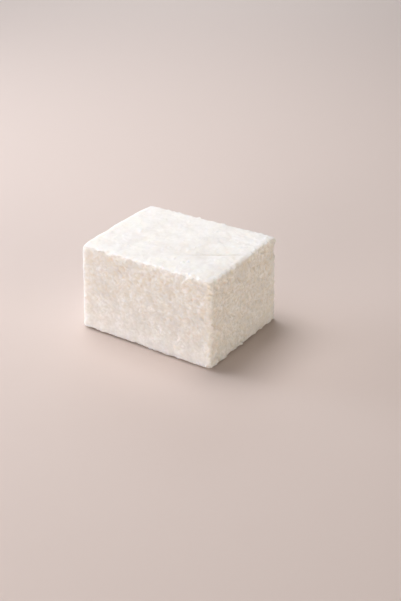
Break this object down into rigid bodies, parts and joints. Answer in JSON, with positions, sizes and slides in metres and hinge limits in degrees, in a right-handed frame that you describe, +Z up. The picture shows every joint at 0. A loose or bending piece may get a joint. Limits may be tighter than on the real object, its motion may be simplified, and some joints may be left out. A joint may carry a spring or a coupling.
{
  "type": "white brined cheese block",
  "caption": "Rectangular block of white brined cheese with crumbled cut edges and one softly rounded moulded end, standing on its base.",
  "frame": {"origin": "middle of the base, on the surface that the block stands on", "axes": "+X along the length, towards the cut end; +Y along the width, towards the back; +Z up"},
  "size_m": [0.106, 0.0784, 0.0615],
  "materials": {
    "curd": "moist matt white curd, warm in its shade, with a fine grain and light scattered under the skin"
  },
  "bodies": {
    "root": {"cheese_block": "curd"}
  },
  "joints": []
}
